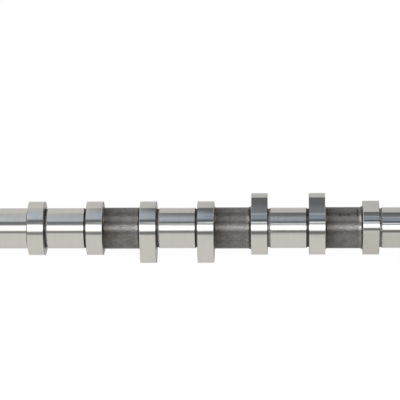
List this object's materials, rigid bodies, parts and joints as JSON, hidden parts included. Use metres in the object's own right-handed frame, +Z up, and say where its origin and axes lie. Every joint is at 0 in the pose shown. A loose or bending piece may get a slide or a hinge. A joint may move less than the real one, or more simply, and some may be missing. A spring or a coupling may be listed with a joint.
{
  "type": "camshaft",
  "caption": "Cast camshaft for an overhead-cam engine, with ground cam lobes and bearing journals on an as-cast shaft.",
  "frame": {"origin": "centre of the sprocket face, on the shaft's axis", "axes": "+X along the shaft from the sprocket face to the rear end; +Z up as the shaft lies on its cams; the first cylinder's cam noses point 48 degrees below +Y"},
  "size_m": [0.3505, 0.0454, 0.0454],
  "materials": {
    "camshaft_iron": "ground and polished cams and journals on a dark shot-blasted casting"
  },
  "bodies": {
    "root": {"camshaft": "camshaft_iron"}
  },
  "joints": []
}
